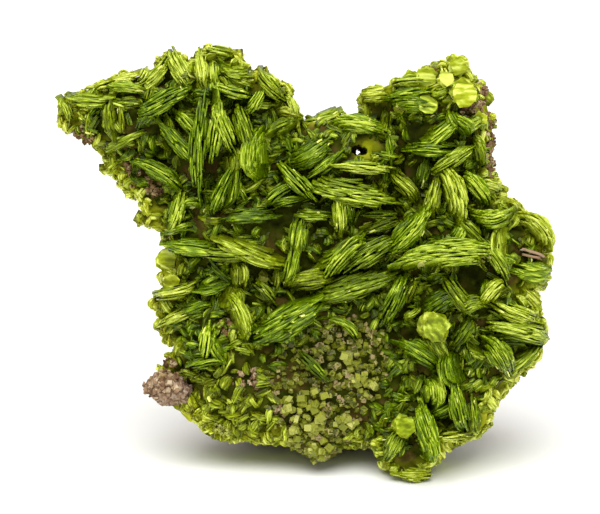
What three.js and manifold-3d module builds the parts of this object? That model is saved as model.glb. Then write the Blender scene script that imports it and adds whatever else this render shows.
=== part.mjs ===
// Meta-autunite: curved books and fans of green tabular crystals on weathered granite.
// Everything is first shaped in the face frame: x to the right, z up the crystal face, and
// "out" towards the viewer, which is -y. The stance group then leans the face back a little.
import * as THREE from 'three';
import { mergeVertices } from 'three/addons/utils/BufferGeometryUtils.js';
import Module from 'manifold-3d';

const wasm = await Module();
wasm.setup();

// Driving dimensions, in millimetres
const FACE_LEAN = THREE.MathUtils.degToRad(15);
const FLOOR = 0.45;
const STANCE_SHIFT = { x: -0.4, y: -7.2 };
const GAP = 0.32;
const CRUST_THICKNESS = 1.9;
const RIM_OUT = -3.2;
const ROOT_DEPTH = 1.5;
const PROUD_BY_LAYER = [0, 0.9, 1.8, 2.8, 3.9];
const LONG_BOOK = 3.4;
const MATRIX_ROUGHNESS = 0.09;
const CRUST_ROUGHNESS = 0.06;
const BLOCKINESS = 2.8;
const LUMP_DETAIL = 1;
const RIM_DETAIL = 0;
const RIM_GROW = 0.35;
const RIM_WRAP = 0.6;
const BOOK_HALF_WIDTH = 0.72;
const BOOK_TILT = 0.35;
const BOOK_SEED = 5;
const FLOOR_BLOCK = 120;

// A small hole that shows daylight through the saddle between the two horns
const PEEPHOLE = { x: 5.9, z: 33.0, radius: 0.75, length: 40, sides: 6 };

const GREEN = new THREE.MeshStandardMaterial({ color: 0x6f8f1e, roughness: 0.4, metalness: 0 });
const PALE_GREEN = new THREE.MeshStandardMaterial({ color: 0x98a05a, roughness: 0.5, metalness: 0 });
const GRANITE = new THREE.MeshStandardMaterial({ color: 0x8a6a58, roughness: 0.9, metalness: 0 });

// The rock. Each lump is [x, out, z, radius in x, radius outwards, radius in z].
const CARRYING_ROCK = [
  [0.5, -6.2, 12.3, 12.2, 5.9, 8.8],
  [-0.5, -6.2, 24.0, 12.6, 5.3, 7.6],
  [14.8, -5.6, 18.6, 8.3, 5.4, 11.6],
  [14.7, -4.9, 34.0, 4.0, 3.9, 6.4],
  [-7.0, -5.2, 35.3, 5.8, 4.2, 6.6],
  [-15.5, -4.6, 36.3, 6.4, 2.8, 2.7],
  [4.0, -5.3, 31.6, 6.0, 4.0, 3.8],
];
const BARE_ROCK = [
  [-13.1, -1.6, 9.2, 2.8, 1.9, 1.5],
  [3.0, -10.6, 8.5, 12.0, 5.2, 5.6],
  [17.6, -3.0, 38.4, 2.0, 2.2, 2.0],
];

// Crystal crust past the edges of the rock, in the same form as the rock's lumps
const CRUST_RIM = [
  [12.0, -1.0, 4.2, 4.2, 3.0, 3.8],
  [17.0, -2.0, 7.5, 3.0, 2.8, 3.4],
  [21.8, -3.2, 15.5, 2.9, 2.6, 3.6],
  [22.2, -3.4, 22.0, 2.8, 2.6, 4.4],
  [-21.5, -3.4, 36.6, 2.8, 1.9, 2.3],
  [-12.6, -3.4, 41.0, 1.6, 1.6, 1.8],
  [-7.6, -3.6, 41.5, 3.0, 2.0, 1.9],
  [-2.6, -3.6, 38.5, 2.1, 2.0, 2.6],
  [-14.6, -3.6, 30.6, 3.4, 1.8, 2.6],
  [-14.3, -3.4, 26.2, 2.0, 1.4, 2.4],
  [-12.6, -3.0, 18.2, 1.9, 1.8, 4.4],
  [-9.6, -2.4, 6.2, 3.4, 2.0, 2.0],
  [9.0, -3.2, 38.0, 3.0, 1.9, 1.9],
  [15.2, -3.0, 40.2, 2.2, 1.8, 2.0],
];

// Books of crystals seen edge on. Each row is one stack: x and z of its two ends, its
// thickness, its layer from 1 (deep) to 4 (front), and where it is bowed, by how much.
const ARM_BOOKS = [
  [-23.0, 38.4, -19.1, 38.3, 1.4, 2],
  [-15.9, 39.3, -13.5, 41.8, 1.4, 3],
  [-16.1, 36.9, -10.9, 39.2, 1.7, 4],
  [-19.7, 32.8, -15.0, 35.0, 1.0, 1],
  [-14.0, 35.8, -9.3, 30.8, 1.3, 3],
  [-12.6, 36.8, -10.3, 33.9, 1.0, 3],
  [-16.4, 31.7, -12.1, 29.0, 1.5, 3],
];
const LEFT_HORN_BOOKS = [
  [-12.9, 43.0, -10.8, 39.4, 2.0, 2],
  [-10.1, 43.0, -9.7, 39.2, 1.4, 2],
  [-7.2, 40.2, -4.8, 39.2, 1.6, 1],
  [-8.7, 39.0, -5.0, 38.3, 0.8, 3],
  [-3.9, 41.2, -1.6, 38.2, 1.3, 4],
  [-5.5, 37.0, -3.6, 39.1, 1.0, 3],
  [-9.6, 38.3, -9.8, 27.5, 1.4, 4],
  [-8.7, 38.3, -8.8, 31.2, 1.2, 4],
  [-7.9, 37.6, -6.7, 32.8, 1.4, 4],
  [-7.2, 33.0, -7.4, 30.5, 1.2, 3],
  [-6.0, 37.3, -5.0, 32.0, 1.2, 4],
  [-3.6, 35.0, -3.2, 30.2, 1.5, 4],
  [-3.2, 34.0, -0.2, 35.6, 0.9, 3],
  [-0.8, 31.8, 2.8, 33.8, 2.8, 2],
  [0.2, 35.6, 4.0, 37.0, 1.5, 2],
  [-6.5, 31.5, -8.6, 26.4, 1.0, 3],
  [-7.8, 27.5, -6.0, 32.0, 0.8, 3],
];
const MIDDLE_BOOKS = [
  [-12.2, 28.8, -13.0, 24.8, 1.3, 3],
  [-13.5, 23.7, -7.8, 23.4, 1.5, 3],
  [-9.7, 23.0, -5.0, 23.0, 1.3, 3],
  [-7.8, 25.8, -2.4, 26.8, 1.5, 2],
  [-8.4, 24.4, -1.7, 22.0, 1.5, 3],
  [-2.1, 31.8, 1.8, 27.7, 1.3, 4],
  [-3.3, 27.1, -0.7, 29.6, 0.8, 3],
  [-0.6, 26.5, 3.3, 26.3, 1.2, 2],
  [-0.4, 22.2, 0.4, 26.0, 2.2, 2],
  [3.7, 28.5, 3.8, 24.4, 1.2, 3],
  [5.1, 28.4, 5.0, 25.5, 1.3, 3],
  [1.8, 30.0, 10.2, 27.8, 2.4, 4],
  [0.4, 30.0, 4.2, 32.7, 1.0, 2],
  [3.6, 31.5, 9.0, 31.4, 1.2, 3],
  [3.3, 35.2, 8.6, 34.0, 2.6, 2],
  [9.5, 30.5, 11.3, 27.9, 1.5, 3],
  [11.8, 29.2, 12.8, 32.2, 1.4, 1],
  [8.5, 23.0, 12.4, 27.9, 1.8, 4],
  [9.4, 23.1, 11.3, 25.8, 1.3, 3],
  [6.4, 24.8, 10.0, 26.0, 1.2, 2],
  [1.5, 21.5, 6.6, 25.1, 1.3, 3],
];
const RIGHT_BOOKS = [
  [14.1, 31.2, 15.3, 25.8, 1.7, 4],
  [13.6, 30.2, 13.1, 26.4, 1.4, 3],
  [13.3, 30.7, 17.2, 33.1, 1.3, 3],
  [16.2, 30.6, 18.6, 27.4, 1.4, 3],
  [14.7, 22.9, 15.9, 25.8, 0.9, 3],
  [15.7, 25.8, 18.2, 23.6, 1.2, 3],
  [17.8, 24.2, 20.4, 20.2, 1.2, 3],
  [16.8, 26.4, 21.6, 26.9, 1.5, 4, -1.2],
  [21.9, 26.2, 24.7, 23.0, 1.5, 3],
  [20.6, 25.1, 20.1, 21.4, 0.8, 3],
  [9.8, 21.2, 19.2, 22.6, 2.7, 4],
  [12.0, 33.9, 15.2, 35.8, 1.2, 3],
  [10.4, 33.1, 15.2, 33.2, 1.4, 3],
];
const LOWER_LEFT_BOOKS = [
  [-14.8, 18.2, -10.8, 19.7, 1.1, 3],
  [-12.0, 17.0, -9.0, 17.4, 1.4, 2],
  [-8.0, 17.1, -7.4, 19.6, 1.2, 3],
  [-7.1, 18.2, -6.0, 14.3, 1.2, 3],
  [-4.7, 19.7, -2.3, 17.6, 0.9, 3],
  [-9.7, 12.2, -8.9, 15.5, 1.2, 4],
  [-4.4, 14.3, 1.5, 18.3, 3.0, 4],
  [-1.3, 19.2, 3.2, 20.6, 2.0, 3],
  [2.8, 20.4, 7.2, 23.1, 1.3, 4],
  [5.0, 21.2, 10.0, 23.9, 1.8, 4],
  [1.3, 18.6, 9.5, 21.0, 2.6, 3],
  [-1.9, 19.5, -0.4, 23.2, 1.1, 3],
  [0.0, 12.8, 2.8, 10.1, 1.0, 2],
];
const LOWER_RIGHT_BOOKS = [
  [10.4, 20.4, 8.6, 15.8, 1.4, 4],
  [14.3, 20.3, 17.3, 17.4, 1.6, 3],
  [12.0, 17.0, 15.8, 18.7, 2.0, 3],
  [15.5, 17.6, 18.2, 17.7, 1.6, 3],
  [12.5, 14.8, 14.1, 11.4, 1.8, 3],
  [15.1, 13.4, 16.7, 16.3, 1.5, 2],
  [18.2, 17.4, 20.5, 20.0, 1.4, 3],
  [20.8, 21.2, 25.2, 21.2, 2.4, 2],
  [22.0, 19.0, 24.0, 17.2, 1.6, 1],
  [19.2, 17.7, 23.4, 15.9, 1.8, 3],
  [18.4, 15.5, 24.9, 14.4, 1.8, 3],
  [19.5, 13.9, 24.1, 13.4, 1.0, 2],
  [18.2, 14.1, 20.7, 10.9, 2.2, 4],
  [9.5, 13.7, 13.9, 11.6, 2.2, 3],
  [12.8, 10.3, 12.9, 7.4, 1.8, 4],
  [13.2, 6.6, 15.3, 8.2, 1.1, 3],
  [14.9, 13.3, 16.3, 10.1, 1.4, 4],
  [15.2, 10.4, 16.7, 5.2, 1.4, 4],
  [12.1, 7.6, 12.5, 1.8, 2.0, 4],
  [17.4, 8.7, 17.5, 4.9, 1.2, 2],
  [8.5, 2.5, 10.2, 4.8, 1.8, 2],
  [9.5, 1.0, 13.0, 0.6, 1.4, 2],
  [20.5, 11.2, 24.0, 13.5, 1.2, 2],
];
const RIGHT_HORN_BOOKS = [
  [9.4, 39.5, 12.6, 39.6, 1.3, 3],
  [8.8, 38.1, 13.0, 38.7, 0.9, 3],
  [9.5, 37.4, 12.9, 37.4, 1.8, 3],
  [6.2, 38.6, 8.8, 38.4, 1.8, 2],
];

// Single plates that face the viewer: [x, z, diameter, layer]
const FACING_PLATES = [
  [13.1, 15.6, 2.6, 4],
  [15.9, 41.3, 1.7, 2],
  [16.3, 38.6, 2.4, 3],
  [12.5, 40.2, 1.9, 2],
  [10.2, 5.6, 1.9, 3],
];

// The druse, a bed of small blocky crystals: [x, out, z, radius in x, outwards, in z]
const DRUSE_BED = [
  [1.8, -1.6, 8.6, 5.0, 3.2, 6.2],
  [4.8, -1.4, 11.8, 4.4, 3.0, 4.4],
  [2.0, -1.2, 4.4, 1.9, 2.2, 2.6],
];
const DRUSE_CRYSTALS = 22;
const DRUSE_CRYSTAL_SIZE = { least: 0.7, spread: 0.7 };
const DRUSE_REACH = 0.97;
const DRUSE_SEED = 11;

// A repeatable stream of numbers from 0 to 1
function seededRandom(seed) {
  let state = seed;
  return () => {
    state = (state + 0x6d2b79f5) | 0;
    let t = Math.imul(state ^ (state >>> 15), 1 | state);
    t = (t + Math.imul(t ^ (t >>> 7), 61 | t)) ^ t;
    return ((t ^ (t >>> 14)) >>> 0) / 4294967296;
  };
}

// A closed three.js geometry as a solid, with its faces turned outwards
function solidFrom(geometry) {
  const bare = geometry.index ? geometry.clone() : geometry;
  bare.deleteAttribute('normal');
  bare.deleteAttribute('uv');
  const merged = mergeVertices(bare, 1e-5);
  const vertProperties = Float32Array.from(merged.attributes.position.array);
  const triVerts = Uint32Array.from(merged.index.array);
  if (signedVolume(vertProperties, triVerts) < 0) {
    for (let i = 0; i < triVerts.length; i += 3) {
      [triVerts[i], triVerts[i + 1]] = [triVerts[i + 1], triVerts[i]];
    }
  }
  return new wasm.Manifold(new wasm.Mesh({ numProp: 3, vertProperties, triVerts }));
}

function signedVolume(points, triangles) {
  const [a, b, c] = [new THREE.Vector3(), new THREE.Vector3(), new THREE.Vector3()];
  let volume = 0;
  for (let i = 0; i < triangles.length; i += 3) {
    a.fromArray(points, 3 * triangles[i]);
    b.fromArray(points, 3 * triangles[i + 1]);
    c.fromArray(points, 3 * triangles[i + 2]);
    volume += a.dot(b.cross(c));
  }
  return volume;
}

function joined(solids) {
  return solids.reduce((whole, solid) => whole.add(solid));
}

function largestBody(solid) {
  const bodies = solid.decompose();
  return bodies.reduce((best, body) => (body.volume() > best.volume() ? body : best));
}

// A lump is a superellipsoid: 2 makes it round, and more makes it blocky
function blockNorm(...parts) {
  const sum = parts.reduce((total, part) => total + Math.abs(part) ** BLOCKINESS, 0);
  return sum ** (1 / BLOCKINESS);
}

// A rough lump: an icosphere stretched to its radii and dented by a smooth wave
function lumpSolid([x, out, z, rx, rOut, rz], grow, roughness, detail = LUMP_DETAIL) {
  const sphere = new THREE.IcosahedronGeometry(1, detail);
  const position = sphere.attributes.position;
  const phase = x * 1.7 + z * 0.9;
  const direction = new THREE.Vector3();
  for (let i = 0; i < position.count; i += 1) {
    direction.fromBufferAttribute(position, i);
    const wave = Math.sin(4.1 * direction.x + phase) + Math.sin(5.3 * direction.z - phase)
      + Math.sin(4.7 * direction.y + 2 * phase);
    const swell = (1 + (roughness * wave) / 2) / blockNorm(direction.x, direction.y, direction.z);
    position.setXYZ(
      i,
      x + direction.x * (rx + grow) * swell,
      -out + direction.y * (rOut + grow) * swell,
      z + direction.z * (rz + grow) * swell,
    );
  }
  return solidFrom(sphere);
}

// The crust covers the front and the rim of each lump of rock that carries crystals
const CRUST_FACE = CARRYING_ROCK.map(([x, out, z, rx, rOut, rz]) => [
  x, out + CRUST_THICKNESS, z,
  rx + RIM_WRAP * CRUST_THICKNESS, rOut, rz + RIM_WRAP * CRUST_THICKNESS,
]);

// How far out the crust's front surface stands at a place on the face
function crustOut(x, z) {
  let front = RIM_OUT;
  for (const [cx, out, cz, rx, rOut, rz] of [...CRUST_FACE, ...CRUST_RIM]) {
    const reach = blockNorm((x - cx) / rx, (z - cz) / rz) ** BLOCKINESS;
    if (reach < 1) {
      front = Math.max(front, out + rOut * (1 - reach) ** (1 / BLOCKINESS));
    }
  }
  return front;
}

// A closed solid through rings of points, all with the same number of corners
function loftSolid(rings) {
  const corners = rings[0].length;
  const positions = rings.flat().flatMap((p) => [p.x, p.y, p.z]);
  const index = [];
  for (let r = 0; r + 1 < rings.length; r += 1) {
    for (let c = 0; c < corners; c += 1) {
      const next = (c + 1) % corners;
      const [a, b] = [r * corners + c, r * corners + next];
      index.push(a, b, b + corners, a, b + corners, a + corners);
    }
  }
  const last = (rings.length - 1) * corners;
  for (let c = 1; c + 1 < corners; c += 1) {
    index.push(0, c + 1, c, last, last + c, last + c + 1);
  }
  const geometry = new THREE.BufferGeometry();
  geometry.setAttribute('position', new THREE.Float32BufferAttribute(positions, 3));
  geometry.setIndex(index);
  return solidFrom(geometry);
}

// A book tapers to both ends. Each station is [place along it, width, height of its crest].
const LONG_STATIONS = [[0, 0.3, 0.5], [0.26, 1, 1], [0.72, 0.95, 0.96], [1, 0.25, 0.45]];
const SHORT_STATIONS = [[0, 0.4, 0.6], [0.5, 1, 1], [1, 0.35, 0.55]];

function bookSolid([x1, z1, x2, z2, thickness, layer, bow = 0], random) {
  const length = Math.hypot(x2 - x1, z2 - z1);
  const along = { x: (x2 - x1) / length, z: (z2 - z1) / length };
  const across = { x: -along.z, z: along.x };
  const tilt = BOOK_TILT * (random() - 0.5);
  const middleOut = crustOut((x1 + x2) / 2, (z1 + z2) / 2);
  const stations = length > LONG_BOOK ? LONG_STATIONS : SHORT_STATIONS;
  const rings = stations.map(([t, width, crest]) => {
    const bend = bow * 4 * t * (1 - t);
    const x = x1 + (x2 - x1) * t + across.x * bend;
    const z = z1 + (z2 - z1) * t + across.z * bend;
    const base = (crustOut(x, z) + middleOut) / 2;
    const proud = PROUD_BY_LAYER[layer] * crest;
    const half = BOOK_HALF_WIDTH * thickness * width;
    const corner = (side, out) => {
      const shift = side + tilt * (out + ROOT_DEPTH);
      return new THREE.Vector3(x + across.x * shift, -(base + out), z + across.z * shift);
    };
    return [corner(-half, -ROOT_DEPTH), corner(half, -ROOT_DEPTH), corner(0, proud)];
  });
  return loftSolid(rings);
}

// A plate that faces the viewer, on a stem down to the crust
const PLATE_SIDES = 7;
const PLATE_THICKNESS = 0.4;
const PLATE_RADII = { stem: 0.28, face: 0.5, edge: 0.42 };

function plateSolid([x, z, diameter, layer]) {
  const base = crustOut(x, z);
  const ring = (radius, out) => Array.from({ length: PLATE_SIDES }, (_, side) => {
    const angle = (2 * Math.PI * side) / PLATE_SIDES;
    return new THREE.Vector3(
      x + radius * Math.cos(angle), -(base + out), z + radius * Math.sin(angle),
    );
  });
  const proud = PROUD_BY_LAYER[layer];
  return loftSolid([
    ring(PLATE_RADII.stem * diameter, -ROOT_DEPTH),
    ring(PLATE_RADII.face * diameter, proud - PLATE_THICKNESS),
    ring(PLATE_RADII.edge * diameter, proud),
  ]);
}

// Small cubes strewn over the druse's bed
function druseCrystals(grow) {
  const random = seededRandom(DRUSE_SEED);
  return Array.from({ length: DRUSE_CRYSTALS }, () => {
    const [x, out, z, rx, rOut, rz] = DRUSE_BED[Math.floor(random() * DRUSE_BED.length)];
    const angle = 2 * Math.PI * random();
    const reach = DRUSE_REACH * Math.sqrt(random());
    const size = DRUSE_CRYSTAL_SIZE.least + DRUSE_CRYSTAL_SIZE.spread * random();
    const cube = new THREE.BoxGeometry(size + 2 * grow, size + 2 * grow, size + 2 * grow);
    cube.rotateX(Math.PI * random());
    cube.rotateZ(Math.PI * random());
    cube.translate(
      x + rx * reach * Math.cos(angle),
      -(out + rOut * Math.sqrt(1 - reach ** 2)),
      z + rz * reach * Math.sin(angle),
    );
    return solidFrom(cube);
  });
}

// Everything below the floor, turned into the face frame
function belowFloor() {
  const slab = new THREE.BoxGeometry(FLOOR_BLOCK, FLOOR_BLOCK, FLOOR_BLOCK);
  slab.translate(0, 0, FLOOR - FLOOR_BLOCK / 2);
  slab.rotateX(FACE_LEAN);
  return solidFrom(slab);
}

function peephole() {
  const { x, z, radius, length, sides } = PEEPHOLE;
  const rod = new THREE.CylinderGeometry(radius, radius, length, sides);
  rod.translate(x, 0, z);
  return solidFrom(rod);
}

function meshOf(name, solid, material) {
  const { vertProperties, triVerts } = solid.getMesh();
  const geometry = new THREE.BufferGeometry();
  geometry.setAttribute('position', new THREE.BufferAttribute(vertProperties, 3));
  geometry.setIndex(new THREE.BufferAttribute(triVerts, 1));
  geometry.computeVertexNormals();
  const mesh = new THREE.Mesh(geometry, material);
  mesh.name = name;
  return mesh;
}

const empty = belowFloor().add(peephole());
const rockLumps = [...CARRYING_ROCK, ...BARE_ROCK];
const rock = joined(rockLumps.map((lump) => lumpSolid(lump, 0, MATRIX_ROUGHNESS)));
const rockRoom = joined(rockLumps.map((lump) => lumpSolid(lump, GAP, MATRIX_ROUGHNESS)));

const druseOf = (grow) => joined([
  ...DRUSE_BED.map((lump) => lumpSolid(lump, grow, CRUST_ROUGHNESS)),
  ...druseCrystals(grow),
]);

const random = seededRandom(BOOK_SEED);
const books = [
  ...ARM_BOOKS, ...LEFT_HORN_BOOKS, ...MIDDLE_BOOKS, ...RIGHT_BOOKS,
  ...LOWER_LEFT_BOOKS, ...LOWER_RIGHT_BOOKS, ...RIGHT_HORN_BOOKS,
].map((book) => bookSolid(book, random));
const crust = [
  ...CRUST_FACE.map((lump) => lumpSolid(lump, 0, CRUST_ROUGHNESS)),
  ...CRUST_RIM.map((lump) => lumpSolid(lump, RIM_GROW, 0, RIM_DETAIL)),
];
const plates = FACING_PLATES.map(plateSolid);

const crystals = joined([...crust, ...books, ...plates])
  .subtract(rockRoom)
  .subtract(druseOf(GAP))
  .subtract(empty);
const druse = druseOf(0).subtract(rockRoom).subtract(empty);

const stance = new THREE.Group();
stance.add(
  meshOf('matrix', largestBody(rock.subtract(empty)), GRANITE),
  meshOf('crystals', largestBody(crystals), GREEN),
  meshOf('druse', largestBody(druse), PALE_GREEN),
);
stance.rotation.x = -FACE_LEAN;
stance.position.set(STANCE_SHIFT.x, STANCE_SHIFT.y, -FLOOR);

const group = new THREE.Group();
group.add(stance);

export default group;
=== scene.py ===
"""A meta-autunite specimen: stacked, curved green plates and a pale druse on weathered granite."""
import math

import bmesh
import bpy
import numpy as np
from mathutils import Matrix, Vector, noise


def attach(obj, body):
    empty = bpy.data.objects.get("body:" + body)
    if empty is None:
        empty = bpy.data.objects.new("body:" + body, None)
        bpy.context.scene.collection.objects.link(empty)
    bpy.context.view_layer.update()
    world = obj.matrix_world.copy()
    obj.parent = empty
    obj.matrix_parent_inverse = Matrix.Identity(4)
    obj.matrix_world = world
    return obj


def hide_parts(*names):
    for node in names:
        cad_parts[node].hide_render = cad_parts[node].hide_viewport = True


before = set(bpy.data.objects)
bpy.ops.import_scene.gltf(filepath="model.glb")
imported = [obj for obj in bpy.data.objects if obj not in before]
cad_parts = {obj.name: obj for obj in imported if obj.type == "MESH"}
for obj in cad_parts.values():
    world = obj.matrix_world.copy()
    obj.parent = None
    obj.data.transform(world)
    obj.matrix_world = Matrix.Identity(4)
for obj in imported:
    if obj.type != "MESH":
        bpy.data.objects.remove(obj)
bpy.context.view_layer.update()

# The solids' own values, in millimetres, as the part is modelled
MM = 0.001
FACE_LEAN = math.radians(15)
FLOOR = 0.45
STANCE_SHIFT = (-0.4, -7.2)
CRUST_THICKNESS = 1.9
RIM_OUT = -3.2
BLOCKINESS = 2.8
PEEPHOLE = (5.9, 33.0, 0.75)
PROUD_BY_LAYER = (0.35, 0.9, 1.8, 2.8, 3.9)

# The rock that carries the crystals, and the crust past its edges:
# x, out, z, radius in x, radius outwards, radius in z
CARRYING_ROCK = [
    (0.5, -6.2, 12.3, 12.2, 5.9, 8.8),
    (-0.5, -6.2, 24.0, 12.6, 5.3, 7.6),
    (14.8, -5.6, 18.6, 8.3, 5.4, 11.6),
    (14.7, -4.9, 34.0, 4.0, 3.9, 6.4),
    (-7.0, -5.2, 35.3, 5.8, 4.2, 6.6),
    (-15.5, -4.6, 36.3, 6.4, 2.8, 2.7),
    (4.0, -5.3, 31.6, 6.0, 4.0, 3.8),
]
CRUST_RIM = [
    (12.0, -1.0, 4.2, 4.2, 3.0, 3.8),
    (17.0, -2.0, 7.5, 3.0, 2.8, 3.4),
    (21.8, -3.2, 15.5, 2.9, 2.6, 3.6),
    (22.2, -3.4, 22.0, 2.8, 2.6, 4.4),
    (-21.5, -3.4, 36.6, 2.8, 1.9, 2.3),
    (-12.6, -3.4, 41.0, 1.6, 1.6, 1.8),
    (-7.6, -3.6, 41.5, 3.0, 2.0, 1.9),
    (-2.6, -3.6, 38.5, 2.1, 2.0, 2.6),
    (-14.6, -3.6, 30.6, 3.4, 1.8, 2.6),
    (-14.3, -3.4, 26.2, 2.0, 1.4, 2.4),
    (-12.6, -3.0, 18.2, 1.9, 1.8, 4.4),
    (-9.6, -2.4, 6.2, 3.4, 2.0, 2.0),
    (9.0, -3.2, 38.0, 3.0, 1.9, 1.9),
    (15.2, -3.0, 40.2, 2.2, 1.8, 2.0),
]

# Books of plates seen edge on: x and z of both ends, thickness, layer from 1 (deep) to
# 4 (front), and where it is bowed, by how much
ARM_BOOKS = [
    (-24.0, 38.3, -23.3, 35.4, 0.9, 2, 0.4),
    (-23.0, 38.4, -19.1, 38.3, 1.4, 2),
    (-21.7, 39.3, -19.2, 40.1, 0.8, 1),
    (-20.4, 39.0, -19.1, 39.9, 0.6, 3),
    (-19.2, 40.2, -16.2, 41.0, 0.9, 1),
    (-19.4, 39.1, -15.4, 38.9, 0.8, 2),
    (-16.4, 40.0, -15.6, 41.4, 0.6, 3),
    (-15.9, 39.3, -13.5, 41.8, 1.4, 3),
    (-18.2, 37.6, -15.8, 37.6, 1.4, 1),
    (-15.4, 37.6, -14.9, 39.1, 0.8, 3),
    (-16.1, 36.9, -10.9, 39.2, 1.7, 4),
    (-18.7, 37.7, -18.3, 34.3, 1.0, 2),
    (-17.9, 37.7, -17.6, 34.5, 0.5, 1),
    (-15.9, 35.2, -14.7, 36.8, 1.2, 2),
    (-19.7, 32.8, -15.0, 35.0, 1.0, 1),
    (-14.0, 35.8, -9.3, 30.8, 1.3, 3),
    (-12.6, 36.8, -10.3, 33.9, 1.0, 3),
    (-13.4, 36.2, -12.2, 34.2, 0.8, 2),
    (-16.4, 31.7, -12.1, 29.0, 1.5, 3),
    (-21.0, 36.8, -21.2, 35.0, 0.6, 1),
]
LEFT_HORN_BOOKS = [
    (-12.9, 43.0, -10.8, 39.4, 2.0, 2),
    (-10.1, 43.0, -9.7, 39.2, 1.4, 2),
    (-9.4, 42.8, -6.8, 42.6, 1.3, 2),
    (-6.7, 42.8, -5.7, 41.6, 1.0, 1),
    (-8.9, 41.8, -8.3, 39.0, 1.0, 1),
    (-7.8, 41.4, -4.9, 40.8, 1.0, 2),
    (-7.2, 40.2, -4.8, 39.2, 1.6, 1),
    (-8.7, 39.0, -5.0, 38.3, 0.8, 3),
    (-3.9, 41.2, -1.6, 38.2, 1.3, 4),
    (-1.8, 39.6, -0.9, 38.2, 1.0, 1),
    (-1.5, 38.2, -0.6, 36.2, 1.2, 2),
    (-5.5, 37.0, -3.6, 39.1, 1.0, 3),
    (-4.7, 37.6, -2.7, 37.7, 0.8, 2),
    (-9.6, 38.3, -9.8, 27.5, 1.4, 4, -0.4),
    (-8.7, 38.3, -8.8, 31.2, 1.2, 4),
    (-7.9, 37.6, -6.7, 32.8, 1.4, 4),
    (-7.2, 33.0, -7.4, 30.5, 1.2, 3),
    (-6.0, 37.3, -5.0, 32.0, 1.2, 4, 0.3),
    (-3.6, 35.0, -3.2, 30.2, 1.5, 4),
    (-3.2, 34.0, -0.2, 35.6, 0.9, 3),
    (-2.4, 36.3, 0.0, 36.0, 0.8, 2),
    (-0.8, 31.8, 2.8, 33.8, 2.8, 2),
    (0.2, 35.6, 4.0, 37.0, 1.5, 2),
    (-6.5, 31.5, -8.6, 26.4, 1.0, 3),
    (-7.8, 27.5, -6.0, 32.0, 0.8, 3),
    (-6.3, 30.0, -5.2, 28.0, 0.6, 2),
]
MIDDLE_BOOKS = [
    (-12.2, 28.8, -13.0, 24.8, 1.3, 3),
    (-11.9, 27.4, -9.6, 27.4, 0.7, 2),
    (-13.4, 24.9, -10.4, 25.3, 0.8, 2),
    (-13.5, 23.7, -7.8, 23.4, 1.5, 3),
    (-9.7, 23.0, -5.0, 23.0, 1.3, 3),
    (-7.8, 25.8, -2.4, 26.8, 1.5, 2),
    (-8.4, 24.4, -1.7, 22.0, 1.5, 3),
    (-2.1, 31.8, 1.8, 27.7, 1.3, 4),
    (-5.8, 29.4, -3.4, 30.2, 0.9, 2),
    (-3.3, 27.1, -0.7, 29.6, 0.8, 3),
    (-2.8, 27.2, 0.3, 28.4, 1.0, 2),
    (-0.6, 26.5, 3.3, 26.3, 1.2, 2),
    (-0.4, 22.2, 0.4, 26.0, 2.2, 2),
    (3.7, 28.5, 3.8, 24.4, 1.2, 3),
    (5.1, 28.4, 5.0, 25.5, 1.3, 3),
    (1.8, 30.0, 10.2, 27.8, 2.4, 4),
    (0.4, 30.0, 4.2, 32.7, 1.0, 2),
    (3.6, 31.1, 9.0, 31.0, 1.0, 3),
    (3.3, 35.6, 8.6, 34.9, 2.0, 2),
    (8.8, 37.2, 8.1, 34.3, 1.2, 2),
    (8.9, 34.4, 9.1, 31.4, 0.8, 1),
    (9.5, 30.5, 11.3, 27.9, 1.5, 3),
    (11.8, 29.2, 12.8, 32.2, 1.4, 1),
    (8.5, 23.0, 12.4, 27.9, 1.8, 4),
    (9.4, 23.1, 11.3, 25.8, 1.3, 3),
    (11.4, 24.0, 11.6, 25.4, 1.0, 2),
    (6.4, 24.8, 10.0, 26.0, 1.2, 2),
    (1.5, 21.5, 6.6, 25.1, 1.3, 3),
    (6.0, 26.6, 9.6, 26.4, 0.8, 2),
    (6.4, 23.9, 8.8, 24.0, 0.6, 1),
]
RIGHT_BOOKS = [
    (14.1, 31.2, 15.3, 25.8, 1.7, 4),
    (13.6, 30.2, 13.1, 26.4, 1.4, 3),
    (15.5, 30.4, 15.3, 27.4, 0.7, 3),
    (15.7, 30.0, 16.2, 26.8, 0.4, 2),
    (13.3, 30.7, 17.2, 33.1, 1.3, 3),
    (16.2, 30.6, 18.6, 27.4, 1.4, 3),
    (14.7, 22.9, 15.9, 25.8, 0.9, 3),
    (15.7, 25.8, 18.2, 23.6, 1.2, 3),
    (17.8, 24.2, 20.4, 20.2, 1.2, 3),
    (16.8, 26.4, 21.6, 26.9, 1.5, 4, -1.2),
    (21.9, 26.2, 24.7, 23.0, 1.5, 3, 0.5),
    (20.6, 25.1, 20.1, 21.4, 0.8, 3),
    (9.8, 21.2, 19.2, 22.6, 2.7, 4, 0.3),
    (12.0, 33.9, 15.2, 35.8, 1.2, 3),
    (10.4, 33.1, 15.2, 33.2, 1.4, 3),
    (14.7, 36.9, 16.2, 35.6, 1.2, 3),
    (15.1, 35.9, 16.7, 34.2, 1.0, 3),
]
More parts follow.
